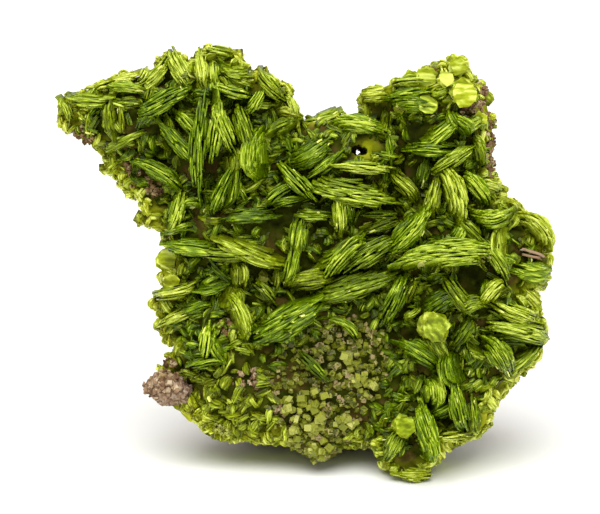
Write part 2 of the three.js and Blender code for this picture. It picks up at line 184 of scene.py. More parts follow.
LOWER_LEFT_BOOKS = [
    (-14.8, 18.2, -10.8, 19.7, 1.1, 3),
    (-11.0, 19.2, -7.5, 19.9, 0.8, 2),
    (-12.0, 17.0, -9.0, 17.4, 1.4, 2),
    (-14.2, 15.4, -10.8, 16.9, 1.0, 2),
    (-8.0, 17.1, -7.4, 19.6, 1.2, 3),
    (-6.7, 19.2, -6.6, 22.0, 0.8, 2),
    (-6.1, 19.5, -6.2, 21.8, 0.6, 2),
    (-7.1, 18.2, -6.0, 14.3, 1.2, 3),
    (-8.6, 21.8, -6.8, 19.4, 0.6, 1),
    (-4.7, 19.7, -2.3, 17.6, 0.9, 3),
    (-9.7, 12.2, -8.9, 15.5, 1.2, 4),
    (-8.7, 15.0, -7.4, 12.3, 0.7, 3),
    (-10.9, 11.6, -7.7, 11.5, 0.8, 3),
    (-4.4, 14.3, 1.5, 18.3, 3.0, 4),
    (-1.3, 19.2, 3.2, 20.6, 2.0, 3),
    (2.8, 20.4, 7.2, 23.1, 1.3, 4),
    (5.0, 21.2, 10.0, 23.9, 1.8, 4),
    (1.3, 18.6, 9.5, 21.0, 2.6, 3),
    (-1.9, 19.5, -0.4, 23.2, 1.1, 3),
    (-2.4, 19.0, -2.1, 21.2, 1.2, 1),
    (3.5, 16.3, 5.7, 13.9, 0.8, 2, 0.5),
    (-5.8, 14.7, -4.4, 16.8, 1.4, 1),
    (0.0, 12.8, 2.8, 10.1, 1.0, 2),
]
LOWER_RIGHT_BOOKS = [
    (10.4, 20.4, 8.6, 15.8, 1.4, 4),
    (11.3, 20.1, 11.1, 18.0, 0.8, 2),
    (14.3, 20.3, 17.3, 17.4, 1.6, 3),
    (12.0, 17.0, 15.8, 18.7, 2.0, 3, 0.5),
    (15.5, 17.6, 18.2, 17.7, 1.6, 3, 0.3),
    (12.5, 14.8, 14.1, 11.4, 1.8, 3),
    (10.6, 16.0, 11.5, 17.2, 0.8, 2),
    (15.1, 13.4, 16.7, 16.3, 1.5, 2),
    (18.0, 18.0, 18.4, 20.1, 0.9, 2),
    (18.2, 17.4, 20.5, 20.0, 1.4, 3),
    (20.8, 21.2, 25.2, 21.2, 2.4, 2),
    (22.0, 19.0, 24.0, 17.2, 1.6, 1),
    (19.2, 17.7, 23.4, 15.9, 1.8, 3),
    (18.4, 15.5, 24.9, 14.4, 1.8, 3),
    (19.5, 13.9, 24.1, 13.4, 1.0, 2),
    (18.2, 14.1, 20.7, 10.9, 2.2, 4),
    (9.5, 13.7, 13.9, 11.6, 2.2, 3),
    (12.8, 10.3, 12.9, 7.4, 1.8, 4),
    (13.2, 6.6, 15.3, 8.2, 1.1, 3),
    (14.9, 13.3, 16.3, 10.1, 1.4, 4),
    (15.2, 10.4, 16.7, 5.2, 1.4, 4),
    (12.1, 7.6, 12.5, 1.8, 2.0, 4),
    (17.4, 8.7, 17.5, 4.9, 1.2, 2),
    (8.5, 2.5, 10.2, 4.8, 1.8, 2),
    (9.5, 1.0, 13.0, 0.6, 1.4, 2),
    (13.4, 4.4, 17.0, 4.4, 1.0, 2),
    (20.5, 11.2, 24.0, 13.5, 1.2, 2),
    (18.6, 8.5, 19.6, 7.0, 1.0, 1),
    (16.8, 13.5, 17.0, 11.8, 1.2, 1),
]
RIGHT_HORN_BOOKS = [
    (14.3, 41.4, 14.7, 39.2, 0.7, 2),
    (9.4, 39.5, 12.6, 39.6, 1.3, 3),
    (8.8, 38.1, 13.0, 38.7, 0.9, 3),
    (9.5, 37.4, 12.9, 37.4, 1.8, 3),
    (13.0, 38.7, 14.8, 39.0, 0.8, 2),
    (16.3, 35.2, 18.2, 35.9, 1.2, 2),
    (17.2, 34.0, 18.0, 31.5, 0.9, 2),
    (17.9, 29.4, 20.0, 29.0, 1.4, 2),
    (6.2, 38.6, 8.8, 38.4, 1.8, 2),
]

# Plates that face the viewer: x, z, diameter, layer
FACING_PLATES = [
    (13.1, 15.6, 2.6, 4),
    (15.9, 41.3, 1.7, 2),
    (16.3, 38.6, 2.4, 3),
    (12.5, 40.2, 1.9, 2),
    (10.2, 5.6, 1.9, 3),
]

# The druse, a bed of small blocky crystals: x, out, z, radius in x, outwards, in z
DRUSE_BED = [
    (1.8, -1.6, 8.6, 5.0, 3.2, 6.2),
    (4.8, -1.4, 11.8, 4.4, 3.0, 4.4),
    (2.0, -1.2, 4.4, 1.9, 2.2, 2.6),
]

# The specimen's outline as the camera sees it, clockwise from the tip of the arm: x and z
OUTLINE = [
    (-24.5, 36.8), (-24.3, 37.9), (-23.0, 39.2), (-21.7, 39.4), (-20.5, 40.0), (-17.5, 40.9),
    (-15.7, 41.6), (-14.2, 42.1), (-13.0, 42.8), (-12.0, 42.9), (-11.2, 42.0), (-10.5, 42.8),
    (-10.0, 43.1), (-8.5, 43.5), (-6.8, 43.0), (-5.7, 42.8), (-5.6, 41.8), (-4.3, 40.4),
    (-4.2, 40.0), (-3.9, 41.2), (-3.2, 40.8), (-2.0, 39.7), (-1.2, 39.6), (-0.8, 38.0),
    (-0.6, 36.5), (0.0, 36.6), (1.0, 37.1), (2.8, 37.4), (4.5, 36.8), (5.2, 37.5),
    (6.0, 37.7), (6.3, 38.8), (7.0, 39.2), (8.5, 39.2), (9.2, 39.4), (9.3, 40.0),
    (11.5, 40.9), (13.0, 41.6), (14.9, 41.7), (15.1, 42.3), (16.6, 42.2), (16.7, 41.2),
    (17.5, 40.2), (19.0, 39.5), (19.6, 38.8), (19.2, 38.0), (18.5, 37.2), (19.7, 36.8),
    (20.4, 36.2), (19.9, 34.5), (20.0, 33.0), (19.7, 31.0), (20.0, 29.6), (20.7, 29.0),
    (20.5, 28.3), (21.8, 27.8), (22.2, 27.0), (23.9, 26.3), (24.1, 24.5), (24.8, 23.8),
    (25.0, 22.2), (25.3, 21.2), (25.2, 20.2), (24.5, 19.3), (23.8, 19.0), (24.0, 17.0),
    (24.6, 15.5), (25.0, 14.5), (24.6, 13.5), (24.0, 12.5), (23.5, 11.5), (22.0, 10.5),
    (21.2, 9.5), (20.0, 8.3), (19.2, 6.8), (19.0, 5.5), (17.8, 4.3), (16.0, 3.6),
    (14.5, 3.0), (13.8, 1.8), (12.5, 0.5), (10.5, 0.0), (9.3, 0.0), (8.5, 1.0),
    (7.0, 3.3), (3.5, 3.2), (2.8, 2.0), (1.8, 1.4), (1.0, 2.5), (-0.5, 3.2),
    (-2.0, 3.7), (-6.5, 3.9), (-8.8, 4.2), (-9.6, 5.0), (-11.0, 6.7), (-12.2, 7.3),
    (-14.5, 7.8), (-15.3, 8.7), (-16.1, 9.4), (-15.5, 10.0), (-14.5, 10.3), (-14.5, 11.2),
    (-13.8, 12.2), (-13.2, 12.8), (-13.8, 14.2), (-14.5, 15.5), (-14.0, 16.2), (-15.0, 17.7),
    (-14.8, 18.3), (-13.5, 19.2), (-14.0, 20.0), (-14.4, 21.2), (-13.7, 23.0), (-13.2, 23.2),
    (-14.0, 24.8), (-16.4, 25.8), (-16.0, 27.0), (-16.3, 28.0), (-17.5, 28.8), (-18.2, 29.8),
    (-19.5, 30.8), (-20.2, 30.8), (-19.7, 32.2), (-20.2, 32.8), (-21.0, 32.6), (-22.0, 33.2),
    (-23.0, 34.5), (-24.2, 35.6),
]

# Thin flaky edges that only the looks show, in the same form as CRUST_RIM
FLAKY_RIM = [
    (-18.2, -3.8, 31.9, 2.0, 1.3, 1.6),
    (-15.0, -3.6, 26.4, 1.5, 1.2, 1.9),
    (-13.1, -2.8, 11.2, 1.1, 1.3, 1.3),
    (-13.9, -3.2, 17.6, 1.2, 1.1, 1.4),
    (-13.2, -3.0, 21.0, 1.3, 1.3, 2.0),
    (-17.0, -4.4, 39.0, 2.8, 1.6, 1.6),
]

# Dark hollows between the books, where small crystals facing out are left off and the crust's
# painted shade shows: x, z, radius in x, radius in z
HOLLOWS = [
    (-13.0, 32.0, 2.0, 2.0),
    (-17.0, 36.3, 0.9, 1.3),
    (11.1, 33.4, 1.3, 2.8),
    (13.0, 19.5, 1.0, 0.7),
    (7.5, 18.5, 1.0, 0.5),
    (17.2, 20.0, 1.7, 1.5),
    (21.5, 13.0, 1.5, 0.5),
    (14.3, 9.0, 0.6, 1.0),
    (14.5, 5.9, 1.0, 0.9),
    (0.8, 10.1, 1.4, 1.1),
    (21.4, 24.4, 0.6, 1.4),
    (-2.3, 26.2, 1.2, 2.7),
]

# Knots of larger pale cubes in the druse: x, z, radius
DRUSE_KNOTS = [
    (5.0, 12.0, 0.8),
    (1.4, 7.7, 1.5),
    (-1.4, 7.2, 0.9),
    (4.5, 5.7, 0.7),
    (6.3, 10.0, 0.9),
    (1.2, 5.4, 0.8),
    (-1.0, 4.4, 0.9),
    (2.1, 2.6, 1.1),
    (-3.5, 20.5, 0.2),
]

# Frosty coats on a few books: x, z, radius in x, radius in z, height over the crust
FROST_SPOTS = [
    (17.6, 22.4, 1.5, 0.7, 2.9),
    (20.2, 11.6, 0.7, 0.7, 2.9),
    (24.0, 20.5, 0.8, 0.7, 0.9),
    (10.8, 37.2, 1.2, 0.5, 2.2),
    (-7.4, 5.2, 1.4, 0.7, 0.7),
]

# Where the small crystals are dull: x, z, radius in x, radius in z
DULL_PATCH = (-7.0, 8.0, 6.5, 4.5)

# Where thin bright crystals let light through: x, z, radius
GLOW_SPOTS = [
    (-13.4, 21.2, 2.6),
    (-15.0, 26.4, 1.8),
    (-22.8, 37.2, 2.4),
    (23.3, 18.2, 2.8),
    (15.0, 39.6, 2.2),
    (18.6, 34.8, 1.6),
    (6.6, 33.0, 1.7),
]

# Thin flakes that face the viewer among the small crystals, in the same form as FACING_PLATES
FLAKES = [
    (11.2, 39.5, 2.5, 2),
    (12.7, 37.5, 2.1, 2),
    (10.1, 37.6, 1.5, 2),
    (14.6, 39.9, 1.5, 2),
    (18.0, 36.0, 1.3, 1),
    (23.0, 20.4, 2.2, 1),
    (22.6, 15.8, 1.6, 1),
    (-13.4, 22.0, 2.0, 1),
    (-13.0, 19.8, 1.6, 1),
]

# A splinter of the rock among the books: x and z of both ends, thickness, layer
SPLINTER = (21.5, 23.0, 24.6, 22.2, 0.36, 2, 0.0)

# Places where the rock's grains show: x, z, radius in x, radius in z, share of pink
GRIT_SPOTS = [
    (-14.1, 9.0, 2.1, 1.2, 0.9),
    (-13.2, 11.2, 1.1, 1.3, 0.3),
    (18.6, 38.4, 1.2, 1.3, 0.5),
    (17.1, 36.7, 0.8, 0.6, 0.4),
    (19.3, 33.5, 0.8, 3.4, 0.4),
    (19.4, 30.8, 0.5, 0.7, 0.9),
    (23.2, 26.2, 0.8, 0.7, 0.9),
    (-15.0, 29.2, 1.5, 0.9, 0.2),
    (-17.0, 31.2, 0.6, 1.0, 0.2),
    (-22.0, 34.1, 1.0, 1.1, 0.1),
    (13.0, 41.3, 0.6, 0.4, 0.3),
    (-5.3, 10.1, 1.4, 0.9, 0.5),
    (-7.4, 15.6, 0.8, 0.8, 0.2),
    (-1.5, 7.0, 0.9, 0.9, 0.6),
]

# Rim, rock and the druse's bed, with lengths in millimetres
RIM_WIDTH = 1.9
RIM_GROWTH = 0.35
DEEP_INLAND = 12.0
CRUST_VOXEL = 0.3
CRUST_INSET = 0.45
CRUST_PUSH = 1.8
ROCK_VOXEL = 0.28
ROCK_INSET = 0.9
ROCK_PUSH = 4.0
BARE_ROCK_TOP = 12.0
BREAK_FREQUENCY = 0.2
BREAK_STEPS = 4
BREAK_DEPTH = 1.5
BREAK_PROUD = 0.2
BED_SINK = 0.5
BED_SHARE = 0.94

# Plates of the books, in millimetres. A share or a place is along or across one book.
BOOK_WIDTH = 0.75
PLATE_PITCH = 0.128
PLATE_STEP = 0.5
PLATE_WIDTHS = (1.1, 1.7)
PIECE_LENGTH = (2.0, 5.0)
PIECE_OVERLAP = 0.15
SHORTEST_PLATE = 0.3
FACING_PITCH = 0.28
ROOT_DEPTH = 0.9
BOOK_LEAN = 0.2
BLUNT_ENDS = (0.0, 0.45)
PEAK_PLACE = (0.3, 0.7)
END_TAPER = 0.75
MOST_FAN = 0.25
LOW_ENDS = (0.5, 0.85)
SIDE_DROP = 0.3
END_DROP = 0.22
SPLAY = 0.14
SKEW = 0.024
SIDE_WOBBLE = 0.02
CREST_WOBBLE = 0.05
STEP_HEIGHT = 0.042
SHEAF_SHARE = 0.28
SHEAF_STEP = 0.075
SHEAF_SLIP = 0.05

# Splinters on the books, each one a short narrow plate, and the few that get a painted glint
SPLINTER_SHARE = 1.6
SPLINTER_REACH = (0.35, 1.0)
SPLINTER_RISE = (0.0, 0.14)
SPLINTER_HALF = (0.04, 0.09)
LONGEST_REACH = 0.3
PAINTED_GLINT_SHARE = 0.07
PAINTED_GLINT_TONE = 1.4

# Small books and grains: how many, and how large in millimetres
SMALL_CLUSTERS = 3400
SMALL_ROOT_DEPTH = 0.4
SMALL_PITCH = 0.21
DRUSE_GRAINS = 2800
KNOT_CUBES = 34
FROST_GRAINS = 70
GRIT_GRAINS = 150
GRIT_CLEARANCE = 0.75
PINKISH_SHARE = 0.2

# Looks, and the seed of all random draws
CRYSTAL_IOR = 1.58
STREAK_SCALE = (0.8, 7.0, 4.0)
SEED = 20

# Where the camera looks, in the face frame, and its distance in metres
VIEW_CENTRE = (0.0, 0.0, 22.3)
VIEW_DISTANCE = 0.25
LENS = 150
SENSOR = 36
FLOOR_SIZE = 3.0
FLOOR_SINK = 0.00002


def block_norm(*parts):
    return sum(abs(part) ** BLOCKINESS for part in parts) ** (1 / BLOCKINESS)


CRUST_FACE = [
    (x, out + CRUST_THICKNESS, z,
     rx + RIM_GROWTH * CRUST_THICKNESS, ry, rz + RIM_GROWTH * CRUST_THICKNESS)
    for x, out, z, rx, ry, rz in CARRYING_ROCK
]


def crust_out(x, z):
    """How far out the crust's front surface stands at a place on the face."""
    front = RIM_OUT
    for cx, out, cz, rx, r_out, rz in CRUST_FACE + CRUST_RIM:
        reach = block_norm((x - cx) / rx, (z - cz) / rz) ** BLOCKINESS
        if reach < 1:
            front = max(front, out + r_out * (1 - reach) ** (1 / BLOCKINESS))
    return front


def to_row(points):
    """Face frame (x, out, z) in millimetres to the row frame in metres."""
    x, out, z = points[:, 0], points[:, 1], points[:, 2]
    lean_sin, lean_cos = math.sin(FACE_LEAN), math.cos(FACE_LEAN)
    row = np.empty_like(points)
    row[:, 0] = x + STANCE_SHIFT[0]
    row[:, 1] = z * lean_sin - out * lean_cos + STANCE_SHIFT[1]
    row[:, 2] = z * lean_cos + out * lean_sin - FLOOR
    return row * MM


def from_row(points):
    """The reverse of to_row."""
    shift = np.array([STANCE_SHIFT[0], STANCE_SHIFT[1], -FLOOR])
    return face_directions(points / MM - shift)


def face_directions(vectors):
    """Directions in the row frame, turned to the face frame."""
    lean_sin, lean_cos = math.sin(FACE_LEAN), math.cos(FACE_LEAN)
    x, y, z = vectors[:, 0], vectors[:, 1], vectors[:, 2]
    return np.stack([x, z * lean_sin - y * lean_cos, y * lean_sin + z * lean_cos], axis=1)


class Shells:
    """Many small closed shells that become one mesh, with values for its material on each point."""

    def __init__(self):
        self.points, self.faces, self.grain = [], [], []
        self.height, self.tone, self.warm = [], [], []
        self.count = 0

    def add(self, points, faces, height, tone, warm, grain):
        self.points.append(points)
        self.faces.append(faces + self.count)
        self.height.append(height)
        self.tone.append(np.full(len(points), tone))
        self.warm.append(np.full(len(points), warm))
        self.grain.append(grain)
        self.count += len(points)

    def build(self, name, material):
        points = to_row(np.concatenate(self.points))
        points[:, 2] = np.maximum(points[:, 2], FLOOR_SINK)
        faces = np.concatenate(self.faces)
        mesh = bpy.data.meshes.new(name)
        mesh.vertices.add(len(points))
        mesh.vertices.foreach_set("co", points.ravel())
        mesh.loops.add(faces.size)
        mesh.loops.foreach_set("vertex_index", faces.ravel())
        mesh.polygons.add(len(faces))
        mesh.polygons.foreach_set("loop_start", np.arange(0, faces.size, 3))
        mesh.update(calc_edges=True)
        mesh.validate()
        mesh.shade_flat()
        labelled = (("height", self.height), ("tone", self.tone), ("warm", self.warm))
        for label, values in labelled:
            layer = mesh.attributes.new(label, "FLOAT", "POINT")
            layer.data.foreach_set("value", np.concatenate(values))
        layer = mesh.attributes.new("grain", "FLOAT_VECTOR", "POINT")
        layer.data.foreach_set("vector", np.concatenate(self.grain).ravel())
        piece = bpy.data.objects.new(name, mesh)
        bpy.context.scene.collection.objects.link(piece)
        mesh.materials.append(material)
        return piece


def ring_faces(stations, corners):
    """Triangles of a closed shell through rings of corners."""
    faces = []
    for s in range(stations - 1):
        for c in range(corners):
            a, b = s * corners + c, s * corners + (c + 1) % corners
            faces += [(a, b, b + corners), (a, b + corners, a + corners)]
    last = (stations - 1) * corners
    for c in range(1, corners - 1):
        faces += [(0, c + 1, c), (last, last + c, last + c + 1)]
    return np.array(faces)


PLATE_SECTION = ((-1, 0, 0), (1, 0, 0), (1, 1, -0.035), (0.2, 1, 0), (-1, 1, -0.045))
RING_FACES = {}
OUTWARD = np.array([0.0, 1.0, 0.0])


def unit(v):
    return v / np.linalg.norm(v, axis=-1, keepdims=True)


def wobble(rng, count, size):
    """A smooth random wobble."""
    raw = rng.normal(0, size, count + 2)
    return (raw[:-2] + 2 * raw[1:-1] + raw[2:]) / 2


class Book:
    """A stack of thin plates on edge, side by side, in a frame of its own.

    The plates run along the book and stand up from its base line. bases is how high that line
    stands at evenly spaced marks.
    """

    def __init__(self, rng, origin, along, up, length, thickness, height, bow, bases):
        self.rng = rng
        self.origin, self.along, self.up = origin, along, up
        self.side = unit(np.cross(along, up))
        self.length, self.thickness, self.height, self.bow = length, thickness, height, bow
        self.bases = np.asarray(bases)
        self.root, self.pitch = ROOT_DEPTH, PLATE_PITCH
        self.lean = rng.normal(0, BOOK_LEAN)
        self.twist = rng.normal(0, BOOK_LEAN)
        self.tone = rng.random()
        self.warm = 0.4 * rng.random() ** 2
        self.blunt = rng.uniform(*BLUNT_ENDS, 2)
        self.peak = rng.uniform(*PEAK_PLACE)
        self.fan = rng.uniform(0.0, MOST_FAN)
        self.low_ends = rng.uniform(*LOW_ENDS, 2)
        self.grain_shift = rng.uniform(0, 900, 3)

    def span(self, offset):
        """Where the outline starts and ends along the book, at an offset of -1 to 1 across."""
        first, last = [max(0.0, abs(offset) - blunt) / (1 - blunt) for blunt in self.blunt]
        return END_TAPER * self.peak * first, 1 - END_TAPER * (1 - self.peak) * last

    def add_plate(self, shells, offset, start, end, raised, half, bright=False):
        """One plate at an offset of -1 to 1 across, from start to end along the book."""
        rng = self.rng
        run = (end - start) * self.length
        if run < SHORTEST_PLATE:
            return
        stations = max(3, round(run / PLATE_STEP) + 2)
        t = np.linspace(start, end, stations)
        own = np.linspace(-1, 1, stations)
        pinch = 1 - self.fan * np.minimum(1, np.abs(2 * t - 1)) ** 2
        across = 0.5 * offset * self.thickness * pinch + self.bow * 4 * t * (1 - t)
        across = across + wobble(rng, stations, SIDE_WOBBLE) + own * run * rng.normal(0, SKEW)
        base = np.interp(t, np.linspace(0, 1, len(self.bases)), self.bases)
        hump = 1 - np.minimum(1, np.abs(2 * t - 1)) ** 3
        profile = self.low_ends[0] * (1 - t) + self.low_ends[1] * t
        profile = profile + (1 - profile) * hump
        profile = profile * (1 - END_DROP * np.abs(own) ** 5)
        top = self.height * (1 - SIDE_DROP * offset ** 2) * profile
        crest = top + raised + wobble(rng, stations, CREST_WOBBLE)
        splay = self.lean + self.twist * (t - 0.5) + SPLAY * offset
        side = unit(self.side - np.outer(np.gradient(across, t * self.length), self.along))
        corners, grain, painted_shade_heights = [], [], []
        for edge, level, drop in PLATE_SECTION:
            rise = -self.root + (crest + self.root) * level + drop
            spot = self.origin + np.outer(t * self.length, self.along)
            spot = spot + np.outer(across, self.side) + np.outer(base + rise, self.up)
            spot = spot + side * (edge * half + splay * rise)[:, None]
            corners.append(spot)
            grain.append(np.stack([t * self.length, across + edge * half, rise], axis=1))
            # Painted shade: each plate is darker towards its root, and the book is darker towards
            # its lower sides and ends.
            painted_shade_heights.append(0.35 * level + 0.65 * np.clip(rise / self.height, 0, 1.1) ** 2.2)
        if stations not in RING_FACES:
            RING_FACES[stations] = ring_faces(stations, len(PLATE_SECTION))
        # Painted shade: a plate that stands lower among its neighbours is darker.
        tone = np.clip(0.12 + 0.45 * self.tone + 0.22 * rng.random() + 0.5 * raised, 0, 1.1)
        shells.add(
            np.stack(corners, axis=1).reshape(-1, 3), RING_FACES[stations],
            np.stack(painted_shade_heights, axis=1).ravel(),
            PAINTED_GLINT_TONE if bright else tone, 1.0 if bright else self.warm,
            np.stack(grain, axis=1).reshape(-1, 3) + self.grain_shift,
        )

    def build(self, shells):
        """Every plate of the book, in sheaves that step up and down, and its splinters."""
        rng = self.rng
        count = max(2, round(self.thickness / self.pitch))
        for k in range(count):
            if k == 0 or rng.random() < SHEAF_SHARE:
                sheaf, slip = rng.normal(0, SHEAF_STEP), rng.normal(0, SHEAF_SLIP)
            offset = (2 * k + 1) / count - 1 + rng.normal(0, 0.25) / count
            start, end = self.span(offset)
            start, end = start + slip, end + slip
            cuts = [start + rng.uniform(-0.04, 0.1)]
            while (end - cuts[-1]) * self.length > PIECE_LENGTH[1]:
                cuts.append(cuts[-1] + rng.uniform(*PIECE_LENGTH) / self.length)
            cuts.append(end + rng.uniform(-0.1, 0.04))
            for first, last in zip(cuts[:-1], cuts[1:]):
                half = 0.5 * self.thickness / count * rng.uniform(*PLATE_WIDTHS)
                overlap = PIECE_OVERLAP / self.length
                self.add_plate(shells, offset, first - overlap, last + overlap,
                               sheaf + rng.normal(0, STEP_HEIGHT), half)
        splinters = count * SPLINTER_SHARE * min(1.0, self.length / 4)
        for _ in range(round(splinters)):
            offset = rng.uniform(-0.95, 0.95)
            start, end = self.span(offset)
            middle = rng.uniform(start, end)
            reach = min(LONGEST_REACH, rng.uniform(*SPLINTER_REACH) / self.length)
            # A few splinters get a painted glint: the palest tone and the yellowest hue.
            bright = rng.random() < PAINTED_GLINT_SHARE
            reach = 0.5 * reach if bright else reach
            self.add_plate(shells, offset, middle - reach, middle + reach,
                           rng.uniform(*SPLINTER_RISE), rng.uniform(*SPLINTER_HALF), bright)


def large_book(spec, rng):
    """A book from the lists, on the crust's front surface."""
    x1, z1, x2, z2, thickness, layer = spec[:6]
    length = math.hypot(x2 - x1, z2 - z1)
    bow = spec[6] if len(spec) > 6 else rng.normal(0, 0.02) * length
    along = np.array([x2 - x1, 0, z2 - z1]) / length
    middle = crust_out((x1 + x2) / 2, (z1 + z2) / 2)
    bases = [
        (crust_out(x1 + (x2 - x1) * t, z1 + (z2 - z1) * t) + middle) / 2
        for t in np.linspace(0, 1, 5)
    ]
    origin = np.array([x1, 0, z1])
    proud = PROUD_BY_LAYER[layer]
    book = Book(rng, origin, along, OUTWARD, length, BOOK_WIDTH * thickness, proud, bow, bases)
    centre = np.array([[(x1 + x2) / 2, middle, (z1 + z2) / 2]])
    rim, depth = painted_glow_share(centre)[0], outline_check(centre)[0][0]
    # Painted glow near the rim and in the glow spots makes a book lighter and yellower, painted
    # shade makes the deeper layers darker, and a book is also darker further inside the outline.
    book.warm += rng.uniform(0.3, 0.9) * rim
    inland = min(1, max(0, depth) / DEEP_INLAND)
    book.tone = np.clip(book.tone + 0.15 * (layer - 3) + 0.4 - 0.65 * inland + 0.4 * rim, 0, 1.2)
    return book


def small_crystals(shells, surface, rng, count):
    """Small books that stand on the crust's front and all round its rim."""
    points, normals = surface
    for _ in range(count):
        pick = rng.integers(len(points))
        centre, up = points[pick], normals[pick]
        x, out, z = centre
        if near_peephole(x, z, 0.5) or in_druse(x, z, out):
            continue
        up = unit(up + rng.normal(0, 0.25, 3))
        along = unit(np.cross(up, rng.normal(size=3)))
        if up[1] > 0.6 and in_hollow(x, z):
            continue
        if rng.random() < GRIT_CLEARANCE and in_grit(x, z):
            continue
        rim = painted_glow_share(centre[None])[0]
        length, thickness = rng.uniform(0.6, 2.0 - 0.8 * rim), rng.uniform(0.2, 0.8)
        height = rng.uniform(0.2, 0.8)
        tips = np.array([centre + up * height, centre - along * length / 2,
                         centre + along * length / 2])
        if outline_check(tips)[0].min() < -0.25:
            continue
        origin = centre - along * length / 2
        book = Book(rng, origin, along, up, length, thickness, height, 0.0, [0, 0])
        book.root, book.pitch = SMALL_ROOT_DEPTH, SMALL_PITCH
        # Painted glow near the rim and in the glow spots: lighter and yellower.
        book.tone = book.tone * (0.38 + 0.35 * rim) + 0.62 * rim
        book.warm += rng.uniform(0.5, 1.1) * rim
        dull_x, dull_z, dull_rx, dull_rz = DULL_PATCH
        if math.hypot((x - dull_x) / dull_rx, (z - dull_z) / dull_rz) < 1:
            book.tone = 0.62 * book.tone
            book.warm = 0.35 + 0.5 * book.warm
        book.build(shells)


def as_seen(points):
    """Where points (x, out, z) appear on the face plane, seen from the camera."""
    nearer = VIEW_DISTANCE / MM / (VIEW_DISTANCE / MM - points[:, 1])
    middle = np.array([VIEW_CENTRE[0], VIEW_CENTRE[2]])
    return (points[:, [0, 2]] - middle) * nearer[:, None] + middle, nearer


def outline_check(points):
    """How far inside the outline each point appears (negative outside), and its way inwards."""
    seen, nearer = as_seen(points)
    corners = np.array(OUTLINE)
    ahead = np.roll(corners, -1, axis=0)
    edges = ahead - corners
    offset = seen[:, None, :] - corners[None]
    t = np.clip((offset * edges).sum(2) / (edges ** 2).sum(1), 0, 1)
    gap = offset - t[..., None] * edges
    distance = np.sqrt((gap ** 2).sum(2))
    nearest = distance.argmin(axis=1)
    rows = np.arange(len(seen))
    crosses = (corners[:, 1] > seen[:, 1:2]) != (ahead[:, 1] > seen[:, 1:2])
    rise = np.where(edges[:, 1] == 0, 1, edges[:, 1])
    meet = corners[:, 0] + (seen[:, 1:2] - corners[:, 1]) * edges[:, 0] / rise
    inside = (crosses & (seen[:, 0:1] < meet)).sum(axis=1) % 2 == 1
    away = gap[rows, nearest] / np.maximum(distance[rows, nearest], 1e-6)[:, None]
    inwards = np.where(inside[:, None], away, -away)
    return np.where(inside, 1, -1) * distance[rows, nearest] / nearer, inwards


def painted_glow_share(points):
    """How much each point gets the painted glow of light through the thin crystals at the rim and
    in the glow spots, from 0 to 1.
    """
    share = 1 - outline_check(points)[0] / RIM_WIDTH
    for x, z, radius in GLOW_SPOTS:
        share = np.maximum(share, 1 - np.hypot(points[:, 0] - x, points[:, 2] - z) / radius)
    return np.clip(share, 0, 1)


def kept_inside(points, margin, limit):
    """Points moved sideways, by up to the limit, to appear a margin inside the outline."""
    depth, inwards = outline_check(points)
    push = np.clip(margin - depth, 0, limit)
    moved = points.copy()
    moved[:, [0, 2]] += inwards * push[:, None]
    return moved


def in_hollow(x, z):
    return any(((x - cx) / rx) ** 2 + ((z - cz) / rz) ** 2 < 1 for cx, cz, rx, rz in HOLLOWS)


def in_grit(x, z):
    return any(
        math.hypot((x - gx) / grx, (z - gz) / grz) < 1 for gx, gz, grx, grz, _ in GRIT_SPOTS
    )


def near_peephole(x, z, margin):
    px, pz, radius = PEEPHOLE
    return math.hypot(x - px, z - pz) < radius + margin


def in_druse(x, z, out):
    return out > -4 and any(
        ((x - cx) / rx) ** 2 + ((z - cz) / rz) ** 2 < 0.8 for cx, _, cz, rx, _, rz in DRUSE_BED
    )


def facing_plate(shells, spec, rng):
    """A ragged stack of plates that face the viewer, down to the crust."""
    x, z, diameter, layer = spec
    base = crust_out(x, z)
    sides = 9
    rim = painted_glow_share(np.array([[x, base, z]]))[0]
    tilt_x, tilt_z = rng.normal(0, 0.3, 2)
    for level in range(2 + round((PROUD_BY_LAYER[layer] + 0.3) / FACING_PITCH)):
        radius = diameter / 2 * (1.0 if level == 0 else rng.uniform(0.8, 1.0))
        out = PROUD_BY_LAYER[layer] - FACING_PITCH * level
        turn = rng.uniform(0, 2 * math.pi)
        ragged = 1 + 0.14 * rng.normal(size=sides)
        away = rng.normal(0, 0.08 * diameter, 2)
        rings = []
        for r, lift in ((0.2, -0.3), (0.97, -0.14), (1.0, 0.0), (0.6, 0.03)):
            angles = np.arange(sides) * 2 * math.pi / sides + turn
            dx = radius * r * np.cos(angles) * ragged + away[0]
            dz = radius * r * np.sin(angles) * ragged + away[1]
            lifted = base + out + lift + tilt_x * dx + tilt_z * dz
            rings.append(np.stack([x + dx, lifted, z + dz], axis=1))
        points = np.concatenate(rings)
        # Painted glow near the rim and in the glow spots: lighter and yellower.
        shells.add(points, ring_faces(4, sides), np.full(len(points), 0.8),
                   rng.uniform(0.45, 0.6) + 0.35 * rim, rng.uniform(0.3, 0.6) + 0.3 * rim,
                   points * 0.4)


def grain(shells, rng, centre, size, tone, warm=0.0):
    """One small blocky crystal or grain, turned at random."""
    corners = np.array([(i, j, k) for i in (-1, 1) for j in (-1, 1) for k in (-1, 1)]) * 0.5
    corners = corners * (1 + rng.normal(0, 0.09, corners.shape))
    stretch = size * np.array([1, rng.uniform(0.7, 1.1), rng.uniform(0.45, 0.9)])
    axis = unit(rng.normal(size=3))
    turn = np.array(Matrix.Rotation(rng.uniform(0, 2 * math.pi), 3, Vector(axis)))
    points = (corners * stretch) @ turn.T + centre
    shells.add(points, CUBE_FACES, np.full(8, 0.8), tone, warm, points)


CUBE_QUADS = [(0, 1, 3, 2), (4, 6, 7, 5), (0, 4, 5, 1), (2, 3, 7, 6), (0, 2, 6, 4), (1, 5, 7, 3)]
CUBE_FACES = np.array([t for a, b, c, d in CUBE_QUADS for t in ((a, c, b), (a, d, c))])


